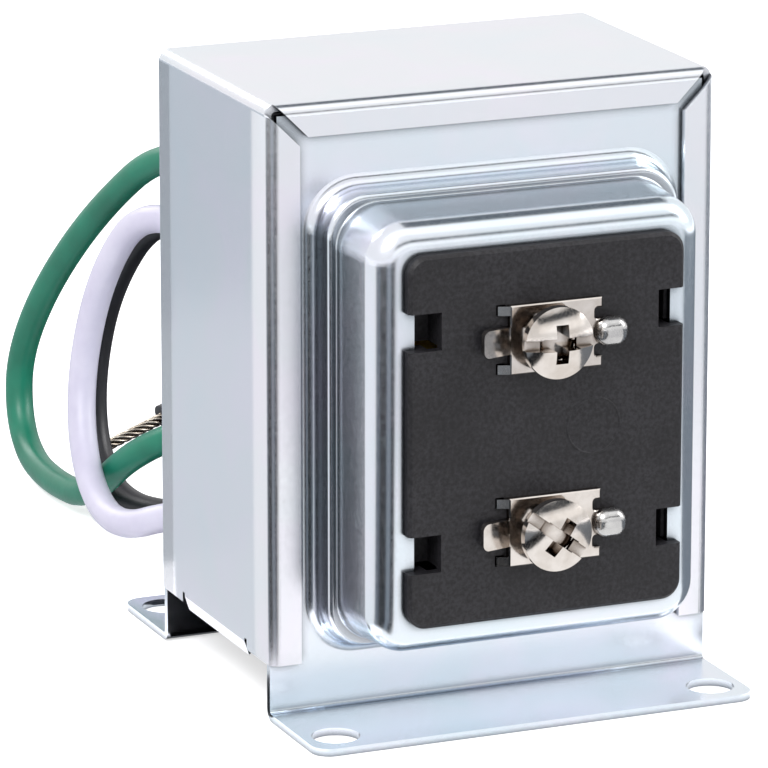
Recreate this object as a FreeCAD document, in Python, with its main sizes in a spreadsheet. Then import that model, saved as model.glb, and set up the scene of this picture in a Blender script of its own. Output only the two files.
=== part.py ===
import FreeCAD, Part
import math
import os
import Sketcher

# Doorbell transformer in a folded steel case, in millimetres.
# The origin is the middle of the four foot holes on the mounting plane.
# X runs across the terminal face, the terminals face -Y, and +Z is up.

# Driving dimensions: name, size and what it measures
SIZES = (
    ("sheet_gauge", 0.8, "steel sheet of the case"),
    ("bend_radius", 0.4, "inside radius of every fold"),
    ("core_length", 57.15, "height of the lamination stack"),
    ("core_width", 47.3, "width of the lamination stack, E and I together"),
    ("core_limb", 9.5, "width of an outer limb, half the tongue"),
    ("stack_depth", 28.4, "thickness of the lamination stack"),
    ("core_hole_radius", 1.8, "punched corner holes of the laminations"),
    ("core_hole_inset", 4.7, "corner holes from the edges of the stack"),
    ("core_lift", 0.2, "stack above the lower edge of the wrap"),
    ("core_side_gap", 0.25, "stack to each side wall"),
    ("core_top_gap", 0.25, "stack to the inside of the top"),
    ("wrap_bottom", 6.0, "lower edge of the wrap above the mounting plane"),
    ("lip_width", 3.4, "folded lip of the wrap"),
    ("mitre_gap", 0.9, "open mitre between two lips"),
    ("tab_length", 17.0, "crimped tab on each side wall"),
    ("tab_drop", 0.8, "tab below the wall's edge"),
    ("tab_bend", 0.7, "tab's bend above the wall's edge"),
    ("tab_reach", 0.5, "tab inwards of the wall's outer face"),
    ("slit_width", 0.6, "relief slit at each end of a tab"),
    ("slit_height", 1.1, "relief slit above the wall's edge"),
    ("foot_inset", 0.2, "foot inside the wrap's outer side"),
    ("foot_reach", 12.2, "foot in front of the wrap"),
    ("foot_corner", 2.0, "rounded corner of a foot"),
    ("hole_radius", 2.5, "mounting hole"),
    ("hole_side", 3.5, "mounting hole from the side of the foot"),
    ("hole_end", 3.9, "mounting hole from the end of the foot"),
    ("dome_top_margin", 7.9, "top of the stack down to the first step"),
    ("dome_bottom_margin", 1.45, "bottom of the stack up to the first step"),
    ("dome_side_margin", 4.05, "side of the stack in to the first step"),
    ("dome_corner", 4.6, "plan radius at the foot of each step"),
    ("dome_draft", 4.2, "lean of the drawn walls, in degrees"),
    ("step_one", 3.5, "height of the first drawn step"),
    ("step_two", 8.7, "height of the second drawn step"),
    ("step_inset", 1.06, "foot of the second step inside the foot of the first"),
    ("base_fillet", 1.3, "hollow round at the foot of the first step"),
    ("shoulder_radius", 0.5, "round on the first step"),
    ("inner_fillet", 0.2, "hollow round at the foot of the second step"),
    ("rim_radius", 2.6, "round on the second step"),
    ("window_inset", 5.55, "board window inside the first step"),
    ("window_shift", 0.3, "window and board beside the middle of the dome"),
    ("window_corner", 1.3, "corner of the board window"),
    ("board_lap", 1.05, "board over each side of its window"),
    ("board_end_lap", 0.95, "board over the top and bottom of its window"),
    ("board_flange", 1.2, "board in front of the rim"),
    ("board_corner", 2.0, "corner of the board"),
    ("board_edge", 0.35, "broken edge of the board's face"),
    ("plug_gap", 0.15, "board's plug inside the window"),
    ("plug_depth", 1.8, "board's plug behind the rim's face"),
    ("plug_wall", 1.2, "wall of the plug"),
    ("notch_height", 3.9, "mould opening along the board's edge"),
    ("notch_left", 3.5, "depth of a left mould opening"),
    ("notch_right", 2.9, "depth of a right mould opening"),
    ("notch_spacing", 23.0, "upper to lower mould openings"),
    ("hook_arm", 0.9, "thickness of a snap hook's arm"),
    ("hook_depth", 3.2, "snap hook behind the rim's face"),
    ("hook_gap", 0.1, "barb behind the rim"),
    ("hook_barb", 1.0, "thickness of the barb"),
    ("hook_bite", 0.7, "barb behind the window's edge"),
    ("hook_side_gap", 0.25, "hook inside its mould opening"),
    ("terminal_spacing", 20.0, "upper to lower terminal screw"),
    ("boss_radius", 3.4, "screw boss behind the board"),
    ("boss_depth", 2.6, "screw boss behind the flange"),
    ("plate_gauge", 0.8, "terminal plate"),
    ("plate_left", 4.15, "screw to the plate's left edge"),
    ("plate_right", 5.9, "screw to the plate's right ears"),
    ("plate_half", 3.55, "half the plate's height"),
    ("plate_edge", 0.12, "broken edge of the plate's face"),
    ("notch_round", 0.35, "round in the notches beside the neck"),
    ("ear_height", 1.0, "ear at each right corner"),
    ("neck_half", 1.3, "half the neck's height"),
    ("neck_root", 5.1, "screw to the notches beside the neck"),
    ("neck_reach", 6.8, "screw to the solder joint"),
    ("tongue_half", 1.4, "half the tongue's height"),
    ("tongue_reach", 3.2, "tongue beyond the plate"),
    ("tongue_lift", 0.8, "tongue's tip above the plate"),
    ("prong_width", 0.95, "bent prong at each left corner"),
    ("prong_reach", 1.15, "prong beyond the plate's left edge"),
    ("prong_inset", 0.05, "prong from the plate's upper and lower edge"),
    ("prong_depth", 0.7, "prong into the board"),
    ("prong_gap", 0.1, "prong in its slot"),
    ("solder_side", 1.75, "half the solder joint's length along the neck"),
    ("solder_half", 1.5, "half the solder joint's height"),
    ("solder_corner", 1.3, "round end of the solder joint"),
    ("solder_rise", 1.3, "solder joint above the plate"),
    ("solder_crown", 1.15, "round on the solder joint"),
    ("tail_radius", 0.5, "end of the secondary winding"),
    ("tail_gap", 0.25, "winding end in its hole"),
    ("screw_radius", 1.7, "terminal screw's thread"),
    ("screw_gap", 0.05, "thread in the plate and board"),
    ("screw_head_radius", 3.7, "terminal screw's head"),
    ("screw_head_edge", 0.9, "straight edge of the head"),
    ("screw_head_crown", 0.9, "crown of the head above its edge"),
    ("screw_standoff", 1.8, "head above the plate, not tightened"),
    ("screw_length", 6.3, "thread below the head"),
    ("slot_width", 1.15, "screwdriver slot"),
    ("slot_depth", 1.3, "screwdriver slot below the crown"),
    ("cross_length", 4.0, "cross recess"),
    ("cross_width", 1.35, "arm of the cross recess"),
    ("cross_depth", 1.9, "cross recess below the crown"),
    ("bobbin_gap", 0.15, "bobbin to the core"),
    ("bobbin_wall", 1.0, "tube of the bobbin"),
    ("bobbin_flange", 1.0, "flange of the bobbin"),
    ("flange_gap", 1.5, "flange to the outer limbs"),
    ("flange_reach", 8.6, "flange in front of and behind the stack"),
    ("winding_depth", 7.0, "copper outside the bobbin's tube along Y"),
    ("winding_gap", 2.5, "outer tape to the outer limbs"),
    ("winding_corner", 3.0, "round corner of a winding"),
    ("tape_gauge", 0.5, "outer tape"),
    ("bushing_radius", 6.5, "lead bushing in the rear cover"),
    ("bushing_gap", 0.1, "bushing in its hole"),
    ("bushing_flange", 2.0, "bushing's flange and lip wider than its body"),
    ("bushing_head", 2.0, "bushing's flange behind the cover"),
    ("bushing_lip", 1.0, "snap lip inside the cover"),
    ("collar_radius", 2.2, "moulded collar round a lead"),
    ("collar_height", 1.0, "moulded collar behind the flange"),
    ("lead_circle", 3.2, "leads from the bushing's axis"),
    ("lead_diameter", 3.2, "insulated lead"),
    ("lead_exit", 6.2, "straight run of a lead behind its collar"),
    ("strand_diameter", 1.4, "bare strands"),
    ("strip_length", 10.0, "stripped end of a lead"),
    ("cutoff_height", 5.0, "thermal cut-off"),
    ("cutoff_width", 5.6, "thermal cut-off"),
    ("sleeve_height", 6.0, "splice sleeve"),
    ("sleeve_width", 3.4, "splice sleeve"),
    ("strap_width", 4.0, "ground strap"),
    ("strap_gauge", 0.6, "ground strap"),
    ("strap_joggle", 1.2, "height over which the strap steps back"),
    ("strap_seat", 5.0, "strap against the rear cover"),
)

# Routes of the leads behind the case, chosen by hand from the bushing to the stripped end
GREEN_ROUTE = (
    (-3.0, 47.2, 41.2), (-7.4, 58.4, 43.2), (-11.3, 70.0, 33.8), (-13.9, 80.2, 23.0),
    (-15.2, 86.4, 13.4), (-15.7, 85.8, 6.4), (-16.2, 80.6, 2.2), (-16.6, 71.0, 1.7),
    (-16.2, 61.0, 2.6), (-14.4, 50.0, 11.0), (-8.0, 42.0, 15.4), (2.0, 40.5, 12.6),
    (12.0, 42.0, 6.6), (20.5, 45.6, 1.7), (27.0, 51.0, 1.7),
)
WHITE_ROUTE = (
    (-7.2, 46.2, 35.8), (-11.8, 54.6, 37.2), (-14.4, 60.2, 29.2), (-16.5, 61.6, 18.8),
    (-18.1, 58.0, 10.2), (-18.9, 50.8, 4.8), (-18.4, 43.6, 4.0), (-15.2, 38.4, 6.4),
    (-8.0, 34.6, 7.4), (1.0, 34.0, 5.2), (10.4, 34.6, 2.6), (19.5, 35.4, 1.7),
    (28.5, 37.4, 1.7),
)
BLACK_ROUTE = (
    (-2.2, 48.4, 35.2), (-8.0, 59.2, 35.8), (-11.4, 66.0, 26.2), (-12.8, 68.8, 14.8),
    (-13.2, 66.6, 6.0), (-12.6, 60.0, 1.7), (-8.4, 52.4, 1.7), (0.6, 48.0, 1.7),
    (10.4, 50.6, 1.7), (15.5, 58.4, 1.8), (19.8, 65.8, 2.2), (20.5, 74.1, 3.7),
    (17.2, 81.5, 5.8), (9.5, 85.1, 6.7), (1.5, 83.7, 4.3),
)
ARC_SHARE = 0.45
VOLUME_TOLERANCE = 0.01
LOWER_SLOT_ANGLE = 37.0

doc = FreeCAD.newDocument("doorbell_transformer")


class Measure:
    """A length together with the sheet formula that gives it."""

    def __init__(self, value, formula):
        self.value = value
        self.formula = formula

    def __add__(self, other):
        other = as_measure(other)
        return Measure(self.value + other.value, f"({self.formula} + {other.formula})")

    def __sub__(self, other):
        other = as_measure(other)
        return Measure(self.value - other.value, f"({self.formula} - {other.formula})")

    def __mul__(self, factor):
        return Measure(self.value * factor, f"({self.formula} * {factor})")

    def __truediv__(self, divisor):
        return Measure(self.value / divisor, f"({self.formula} / {divisor})")

    def __neg__(self):
        return Measure(-self.value, f"(-1 * {self.formula})")


ZERO = Measure(0.0, "0")


def as_measure(length):
    """Lets a plain number stand in a sum of measures."""
    if isinstance(length, Measure):
        return length
    return Measure(float(length), str(length))


def fill_sheet():
    """Writes the driving dimensions to the sheet and returns them by name."""
    sheet = doc.addObject("Spreadsheet::Sheet", "Sizes")
    named = {}
    for row, (name, value, note) in enumerate(SIZES, 1):
        sheet.set(f"A{row}", note)
        sheet.set(f"B{row}", str(value))
        sheet.setAlias(f"B{row}", name)
        named[name] = Measure(value, f"Sizes.{name}")
    doc.recompute()
    return named


size = fill_sheet()

# Places that several pieces share
GAUGE = size["sheet_gauge"]
FOLD = GAUGE + size["bend_radius"]
STACK_HALF = size["stack_depth"] / 2
PLATE_FACE = STACK_HALF + GAUGE
WRAP_FACE = PLATE_FACE + GAUGE
CORE_SIDE = size["core_width"] / 2
WALL_INSIDE = CORE_SIDE + size["core_side_gap"]
WRAP_SIDE = WALL_INSIDE + GAUGE
CORE_BOTTOM = size["wrap_bottom"] + size["core_lift"]
CORE_TOP = CORE_BOTTOM + size["core_length"]
CORE_MIDDLE = CORE_BOTTOM + size["core_length"] / 2
ROOF = CORE_TOP + size["core_top_gap"]
WRAP_TOP = ROOF + GAUGE
FOOT_SIDE = WRAP_SIDE - size["foot_inset"]
FOOT_END = WRAP_FACE + size["foot_reach"]
STEP_SIDE = CORE_SIDE - size["dome_side_margin"]
STEP_BOTTOM = CORE_BOTTOM + size["dome_bottom_margin"]
STEP_TOP = CORE_TOP - size["dome_top_margin"]
DOME_MIDDLE = (STEP_BOTTOM + STEP_TOP) / 2
STEP_FACE = PLATE_FACE + size["step_one"]
RIM_FACE = STEP_FACE + size["step_two"]
RIM_BACK = RIM_FACE - GAUGE
WINDOW_SIDE = STEP_SIDE - size["window_inset"]
WINDOW_HALF = (STEP_TOP - STEP_BOTTOM) / 2 - size["window_inset"]
BOARD_SIDE = WINDOW_SIDE + size["board_lap"]
BOARD_HALF = WINDOW_HALF + size["board_end_lap"]
BOARD_FACE = RIM_FACE + size["board_flange"]
TERMINAL_FACE = BOARD_FACE + size["plate_gauge"]
TERMINAL_HEIGHTS = {
    "upper": DOME_MIDDLE + size["terminal_spacing"] / 2,
    "lower": DOME_MIDDLE - size["terminal_spacing"] / 2,
}
WINDOW_LENGTH_HALF = CORE_SIDE - size["core_limb"]
TUBE_HALF_Y = STACK_HALF + size["bobbin_gap"] + size["bobbin_wall"]
TUBE_HALF_Z = size["core_limb"] + size["bobbin_gap"] + size["bobbin_wall"]
COPPER_HALF_Y = TUBE_HALF_Y + size["winding_depth"]
TAPE_HALF_Y = COPPER_HALF_Y + size["tape_gauge"]
TAPE_HALF_Z = size["core_length"] / 2 - size["core_limb"] - size["winding_gap"]
COPPER_HALF_Z = TAPE_HALF_Z - size["tape_gauge"]
BUSHING_INSIDE = RIM_BACK - size["bushing_lip"]
COLLAR_FACE = RIM_FACE + size["bushing_head"] + size["collar_height"]


def bind(item, path, measure):
    """Sets a property and ties it to the sheet."""
    if "." not in path:
        setattr(item, path, measure.value)
    item.setExpression(path, measure.formula)


def new_body(label, height=None, across=ZERO):
    """Starts a sub-part, raised and moved across where its sketches are drawn about its own middle."""
    body = doc.addObject("PartDesign::Body", label)
    body.Label = label
    if height is not None:
        body.Placement.Base = FreeCAD.Vector(across.value, 0, height.value)
        bind(body, "Placement.Base.x", across)
        bind(body, "Placement.Base.z", height)
    return body


def plane_of(body, role):
    """Finds one of the body's own origin planes."""
    return next(item for item in body.Origin.OriginFeatures if item.Role == role)


def new_sketch(body, role, offset=ZERO):
    """Puts a sketch on an origin plane, moved along the plane's normal."""
    sketch = body.newObject("Sketcher::SketchObject", f"{body.Label}_sketch")
    sketch.AttachmentSupport = (plane_of(body, role), [""])
    sketch.MapMode = "FlatFace"
    sketch.AttachmentOffset = FreeCAD.Placement(FreeCAD.Vector(0, 0, offset.value), FreeCAD.Rotation())
    bind(sketch, "AttachmentOffset.Base.z", offset)
    return sketch


def pin(sketch, curve, end, across, up):
    """Ties a sketch point to its two distances from the origin."""
    for kind, axis, distance in (("DistanceX", -2, across), ("DistanceY", -1, up)):
        if abs(distance.value) < 1e-9:
            sketch.addConstraint(Sketcher.Constraint("PointOnObject", curve, end, axis))
            continue
        index = sketch.addConstraint(Sketcher.Constraint(kind, -1, 1, curve, end, distance.value))
        sketch.setExpression(f"Constraints[{index}]", distance.formula)


def arc_between(start, finish, radius, left):
    """Makes the short arc from start to finish, turning left or right, and says which end is its start."""
    first, last = (start, finish) if left else (finish, start)
    chord = last - first
    middle = (first + last) / 2
    normal = FreeCAD.Vector(-chord.y, chord.x, 0) / chord.Length
    centre = middle + normal * math.sqrt(max(radius ** 2 - (chord.Length / 2) ** 2, 0))
    begin = math.atan2(first.y - centre.y, first.x - centre.x)
    stop = math.atan2(last.y - centre.y, last.x - centre.x)
    circle = Part.Circle(centre, FreeCAD.Vector(0, 0, 1), radius)
    return Part.ArcOfCircle(circle, begin, stop if stop > begin else stop + 2 * math.pi)


def outline(sketch, corners):
    """Draws a closed outline.

    A corner is (across, up), or (across, up, radius, left) where an arc leads on to the next corner,
    turning left or right.
    """
    spots = [FreeCAD.Vector(corner[0].value, corner[1].value, 0) for corner in corners]
    ends = []
    for number, corner in enumerate(corners):
        start = spots[number]
        finish = spots[(number + 1) % len(corners)]
        if len(corner) == 2:
            curve = sketch.addGeometry(Part.LineSegment(start, finish))
            ends.append((curve, 1, 2))
            continue
        radius, left = corner[2], corner[3]
        curve = sketch.addGeometry(arc_between(start, finish, radius.value, left))
        ends.append((curve, 1, 2) if left else (curve, 2, 1))
        index = sketch.addConstraint(Sketcher.Constraint("Radius", curve, radius.value))
        sketch.setExpression(f"Constraints[{index}]", radius.formula)
    for number, (curve, start_end, finish_end) in enumerate(ends):
        following, following_start, unused = ends[(number + 1) % len(ends)]
        sketch.addConstraint(Sketcher.Constraint("Coincident", curve, finish_end, following, following_start))
        pin(sketch, curve, start_end, corners[number][0], corners[number][1])


def rectangle(sketch, left, right, bottom, top):
    """Draws a square-cornered rectangle."""
    outline(sketch, ((left, bottom), (right, bottom), (right, top), (left, top)))


def rounded_rectangle(sketch, side, bottom, top, corner, middle=ZERO):
    """Draws a rectangle about an upright line with round corners."""
    left, right = middle - side, middle + side
    outline(sketch, (
        (left + corner, top, corner, True), (left, top - corner),
        (left, bottom + corner, corner, True), (left + corner, bottom),
        (right - corner, bottom, corner, True), (right, bottom + corner),
        (right, top - corner, corner, True), (right - corner, top),
    ))


def circle(sketch, across, up, radius):
    """Draws a full circle."""
    centre = FreeCAD.Vector(across.value, up.value, 0)
    curve = sketch.addGeometry(Part.Circle(centre, FreeCAD.Vector(0, 0, 1), radius.value))
    pin(sketch, curve, 3, across, up)
    index = sketch.addConstraint(Sketcher.Constraint("Radius", curve, radius.value))
    sketch.setExpression(f"Constraints[{index}]", radius.formula)


def pad(body, sketch, length, symmetric=False, backwards=False, draft=ZERO):
    """Adds a sketch's outline as material, its walls leaning inwards by a draft."""
    feature = body.newObject("PartDesign::Pad", f"{body.Label}_pad")
    feature.Profile = sketch
    bind(feature, "Length", length)
    bind(feature, "TaperAngle", -draft)
    feature.SideType = "Symmetric" if symmetric else "One side"
    feature.Reversed = backwards
    return feature


def pocket(body, sketch, length=None, symmetric=False, backwards=False, draft=ZERO):
    """Cuts a sketch's outline away, right through where no length is given."""
    doc.recompute()
    before = body.Shape.Volume
    feature = body.newObject("PartDesign::Pocket", f"{body.Label}_pocket")
    feature.Profile = sketch
    feature.SideType = "Symmetric" if symmetric else "One side"
    if length is None:
        feature.Type = "ThroughAll"
    else:
        bind(feature, "Length", length)
        bind(feature, "TaperAngle", -draft)
    feature.Reversed = backwards
    doc.recompute()
    if body.Shape.Volume >= before:
        raise RuntimeError(f"{body.Label}: a pocket cut nothing")
    return feature


def edges_where(shape, test):
    """Names the edges whose end points all pass a test."""
    return [
        f"Edge{number}" for number, edge in enumerate(shape.Edges, 1)
        if all(test(vertex.Point) for vertex in edge.Vertexes)
    ]


def fillet(body, base, edges, radius):
    """Rounds named edges of a feature."""
    feature = body.newObject("PartDesign::Fillet", f"{body.Label}_fillet")
    feature.Base = (base, edges)
    bind(feature, "Radius", radius)
    doc.recompute()
    return feature


def chamfer(body, base, edges, width):
    """Breaks named edges of a feature."""
    feature = body.newObject("PartDesign::Chamfer", f"{body.Label}_chamfer")
    feature.Base = (base, edges)
    bind(feature, "Size", width)
    doc.recompute()
    return feature


def near(first, second):
    """Compares two coordinates."""
    return abs(first - second) < 1e-4


def revolve(body, sketch):
    """Turns a profile about the body's Y axis."""
    feature = body.newObject("PartDesign::Revolution", f"{body.Label}_revolution")
    feature.Profile = sketch
    feature.ReferenceAxis = (sketch, ["V_Axis"])
    feature.Angle = 360
    return feature


def make_wrap_cover():
    """Folds the top and side walls with their lips, open mitres and crimped tabs."""
    body = new_body("wrap_cover")
    bottom = size["wrap_bottom"]
    sketch = new_sketch(body, "XZ_Plane")
    rectangle(sketch, -WRAP_SIDE, WRAP_SIDE, bottom, WRAP_TOP)
    block = pad(body, sketch, WRAP_FACE * 2, symmetric=True)
    doc.recompute()
    folds = [
        f"Edge{number}" for number, edge in enumerate(block.Shape.Edges, 1)
        if edge.BoundBox.ZMax > bottom.value + GAUGE.value
    ]
    fillet(body, block, folds, FOLD)
    bend = size["bend_radius"]
    sketch = new_sketch(body, "XY_Plane", bottom)
    rounded_rectangle(sketch, WALL_INSIDE, -PLATE_FACE, PLATE_FACE, bend)
    hollow = pocket(body, sketch, ROOF - bottom, backwards=True)
    roof_edges = edges_where(hollow.Shape, lambda spot: near(spot.z, ROOF.value))
    fillet(body, hollow, roof_edges, bend)

    opening_side = WRAP_SIDE - size["lip_width"]
    opening_top = WRAP_TOP - size["lip_width"]
    sketch = new_sketch(body, "XZ_Plane")
    rectangle(sketch, -opening_side, opening_side, bottom - GAUGE, opening_top)
    pocket(body, sketch, symmetric=True)

    half_gap = size["mitre_gap"] / 2
    for way in (1, -1):
        sketch = new_sketch(body, "XZ_Plane", WRAP_FACE * way)
        for hand in (1, -1):
            inner_x, inner_z = opening_side - FOLD, opening_top - FOLD
            outer_x, outer_z = WRAP_SIDE + FOLD, WRAP_TOP + FOLD
            outline(sketch, (
                ((inner_x - half_gap) * hand, inner_z + half_gap),
                ((inner_x + half_gap) * hand, inner_z - half_gap),
                ((outer_x + half_gap) * hand, outer_z - half_gap),
                ((outer_x - half_gap) * hand, outer_z + half_gap),
            ))
        pocket(body, sketch, FOLD, backwards=way < 0)

    slit_start = size["tab_length"] / 2
    slit_end = slit_start + size["slit_width"]
    below, bend_line = bottom - GAUGE, bottom + size["tab_bend"]
    slit_top = bottom + size["slit_height"]
    sketch = new_sketch(body, "YZ_Plane")
    outline(sketch, (
        (-slit_end, below), (slit_end, below), (slit_end, slit_top), (slit_start, slit_top),
        (slit_start, bend_line), (-slit_start, bend_line), (-slit_start, slit_top), (-slit_end, slit_top),
    ))
    pocket(body, sketch, symmetric=True)
    tip = WRAP_SIDE - size["tab_reach"]
    tab_bottom = bottom - size["tab_drop"]
    for hand in (1, -1):
        sketch = new_sketch(body, "XZ_Plane")
        outline(sketch, (
            (WRAP_SIDE * hand, bend_line), (tip * hand, tab_bottom),
            ((tip - GAUGE * 0.6) * hand, tab_bottom + GAUGE * 0.3), (WALL_INSIDE * hand, bend_line),
        ))
        pad(body, sketch, size["tab_length"], symmetric=True)
    return body


def lean_over(depth):
    """Finds how far a drawn wall leans inwards over a depth."""
    draft = size["dome_draft"]
    lean = math.tan(math.radians(draft.value))
    return Measure(depth.value * lean, f"({depth.formula} * tan({draft.formula} * 1 deg))")


def draw_step(body, inset, corner, distance, middle=ZERO):
    """Sketches the first step's outline, moved inwards, in front of the middle of the stack."""
    sketch = new_sketch(body, "XZ_Plane", distance)
    rounded_rectangle(sketch, STEP_SIDE - inset, STEP_BOTTOM + inset, STEP_TOP - inset, corner, middle)
    return sketch


def round_step(body, inset, distance, radius):
    """Rounds the bend that follows such an outline."""
    side, bottom, top = STEP_SIDE - inset, STEP_BOTTOM + inset, STEP_TOP - inset

    def on_outline(spot):
        beside = near(abs(spot.x), side.value) or near(spot.z, bottom.value) or near(spot.z, top.value)
        return beside and near(spot.y, -distance.value)

    fillet(body, body.Tip, edges_where(body.Shape, on_outline), radius)


def draw_dome(body):
    """Draws the plate out into two hollow leaning steps, every bend round on both faces of the sheet."""
    corner, draft = size["dome_corner"], size["dome_draft"]
    height_one, height_two = size["step_one"], size["step_two"]
    lean_one, lean_two = lean_over(height_one), lean_over(height_two)
    first, second = ZERO, size["step_inset"]
    thin_first = GAUGE - lean_over(GAUGE)
    thin_second = thin_first - lean_one
    inner_first, inner_second = first + thin_first, second + thin_second
    pad(body, draw_step(body, first, corner, PLATE_FACE), height_one, draft=draft)
    pad(body, draw_step(body, second, corner, STEP_FACE), height_two, draft=draft)
    hollow = draw_step(body, inner_first, corner - thin_first, STACK_HALF)
    pocket(body, hollow, height_one, backwards=True, draft=draft)
    hollow = draw_step(body, inner_second, corner - thin_second, STACK_HALF)
    pocket(body, hollow, height_one + height_two, backwards=True, draft=draft)
    for inset, distance, radius in (
        (first, PLATE_FACE, size["base_fillet"]),
        (first + lean_one, STEP_FACE, size["shoulder_radius"]),
        (second, STEP_FACE, size["inner_fillet"]),
        (second + lean_two, RIM_FACE, size["rim_radius"]),
        (inner_first, STACK_HALF, size["base_fillet"] + GAUGE),
        (inner_first + lean_one, STEP_FACE - GAUGE, size["inner_fillet"]),
        (inner_second + lean_one, STEP_FACE - GAUGE, size["shoulder_radius"]),
        (inner_second + lean_one + lean_two, RIM_BACK, size["rim_radius"] - GAUGE),
    ):
        round_step(body, inset, distance, radius)


def make_cover(label):
    """Draws a cover: plate, bent foot and two-step dome, facing -Y."""
    body = new_body(label)
    shoulder = size["wrap_bottom"]
    bend = size["bend_radius"]
    sketch = new_sketch(body, "YZ_Plane")
    outline(sketch, (
        (-FOOT_END, ZERO),
        (-STACK_HALF - FOLD, ZERO, FOLD, True),
        (-STACK_HALF, FOLD),
        (-STACK_HALF, shoulder),
        (-PLATE_FACE, shoulder),
        (-PLATE_FACE, GAUGE + bend, bend, False),
        (-PLATE_FACE - bend, GAUGE),
        (-FOOT_END, GAUGE),
    ))
    foot = pad(body, sketch, FOOT_SIDE * 2, symmetric=True)
    doc.recompute()
    corners = edges_where(foot.Shape, lambda spot: near(spot.y, -FOOT_END.value))
    corners = [name for name in corners if near(foot.Shape.getElement(name).BoundBox.XLength, 0)]
    fillet(body, foot, corners, size["foot_corner"])

    sketch = new_sketch(body, "XZ_Plane", STACK_HALF)
    plate_side = WALL_INSIDE - bend
    rectangle(sketch, -plate_side, plate_side, shoulder, ROOF - bend)
    pad(body, sketch, GAUGE)
    draw_dome(body)

    sketch = new_sketch(body, "XY_Plane")
    for hand in (1, -1):
        hole_x = FOOT_SIDE - size["hole_side"]
        circle(sketch, hole_x * hand, -FOOT_END + size["hole_end"], size["hole_radius"])
    pocket(body, sketch, GAUGE * 2, backwards=True)
    return body


def make_front_cover():
    """Makes the cover with the board's window."""
    body = make_cover("front_cover")
    window = draw_step(body, size["window_inset"], size["window_corner"], RIM_BACK, size["window_shift"])
    pocket(body, window, GAUGE * 4, symmetric=True)
    return body


def make_rear_cover():
    """Makes the cover with the bushing's hole and turns it to the back."""
    body = make_cover("rear_cover")
    sketch = new_sketch(body, "XZ_Plane", RIM_BACK)
    circle(sketch, ZERO, DOME_MIDDLE, size["bushing_radius"] + size["bushing_gap"])
    pocket(body, sketch, GAUGE * 4, symmetric=True)
    body.Placement.Rotation = FreeCAD.Rotation(FreeCAD.Vector(0, 0, 1), 180)
    return body


def make_terminal_board():
    """Moulds the board with its plug, bosses, mould openings and snap hooks."""
    body = new_body("terminal_board", DOME_MIDDLE, size["window_shift"])
    middle = -size["window_shift"]
    sketch = new_sketch(body, "XZ_Plane", RIM_FACE)
    rounded_rectangle(sketch, BOARD_SIDE, -BOARD_HALF, BOARD_HALF, size["board_corner"])
    flange = pad(body, sketch, size["board_flange"])
    doc.recompute()
    face_edges = edges_where(flange.Shape, lambda spot: near(spot.y, -BOARD_FACE.value))
    chamfer(body, flange, face_edges, size["board_edge"])

    plug_side = WINDOW_SIDE - size["plug_gap"]
    plug_half = WINDOW_HALF - size["plug_gap"]
    wall = size["plug_wall"]
    sketch = new_sketch(body, "XZ_Plane", RIM_FACE)
    rounded_rectangle(sketch, plug_side, -plug_half, plug_half, size["window_corner"])
    rectangle(sketch, -plug_side + wall, plug_side - wall, -plug_half + wall, plug_half - wall)
    pad(body, sketch, size["plug_depth"], backwards=True)

    rows = (size["terminal_spacing"] / 2, -size["terminal_spacing"] / 2)
    sketch = new_sketch(body, "XZ_Plane", RIM_FACE)
    for row in rows:
        circle(sketch, middle, row, size["boss_radius"])
    pad(body, sketch, size["boss_depth"], backwards=True)

    notch_half = size["notch_height"] / 2
    notch_rows = (size["notch_spacing"] / 2, -size["notch_spacing"] / 2)
    left_root = -BOARD_SIDE + size["notch_left"]
    right_root = BOARD_SIDE - size["notch_right"]
    sketch = new_sketch(body, "XZ_Plane", RIM_FACE)
    for row in notch_rows:
        rectangle(sketch, -BOARD_SIDE - wall, left_root, row - notch_half, row + notch_half)
        rectangle(sketch, right_root, BOARD_SIDE + wall, row - notch_half, row + notch_half)
    pocket(body, sketch, size["plug_depth"] * 3, symmetric=True)

    barb_front = RIM_BACK - size["hook_gap"]
    barb_side = WINDOW_SIDE + size["hook_bite"]
    leg = barb_side - size["hook_barb"]
    floor_back = RIM_FACE - size["hook_depth"]
    floor_front = floor_back + size["hook_arm"]
    arm_front = RIM_FACE + size["board_edge"]
    hook_height = size["notch_height"] - size["hook_side_gap"] * 2
    for row in notch_rows:
        for hand, root in ((1, right_root), (-1, -left_root)):
            sketch = new_sketch(body, "XY_Plane", row)
            arm = root - size["hook_arm"]
            outline(sketch, (
                (arm * hand, -arm_front), (root * hand, -arm_front), (root * hand, -floor_front),
                (leg * hand, -floor_front), (leg * hand, -barb_front), (barb_side * hand, -barb_front),
                (barb_side * hand, -floor_back), (arm * hand, -floor_back),
            ))
            pad(body, sketch, hook_height, symmetric=True)

    sketch = new_sketch(body, "XZ_Plane", RIM_FACE)
    for row in rows:
        circle(sketch, middle, row, size["screw_radius"] + size["screw_gap"])
        circle(sketch, middle + size["neck_reach"], row, size["tail_radius"] + size["tail_gap"])
    pocket(body, sketch, size["boss_depth"] * 3, symmetric=True)

    gap = size["prong_gap"]
    sketch = new_sketch(body, "XZ_Plane", BOARD_FACE)
    for row in rows:
        for hand in (1, -1):
            outer = row + (size["plate_half"] - size["prong_inset"] + gap) * hand
            inner = outer - (size["prong_width"] + gap * 2) * hand
            slot_left = middle - size["plate_left"] - size["prong_reach"] - gap
            rectangle(sketch, slot_left, slot_left + size["plate_gauge"] + gap * 2, inner, outer)
    pocket(body, sketch, size["prong_depth"] + gap)
    return body


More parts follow.
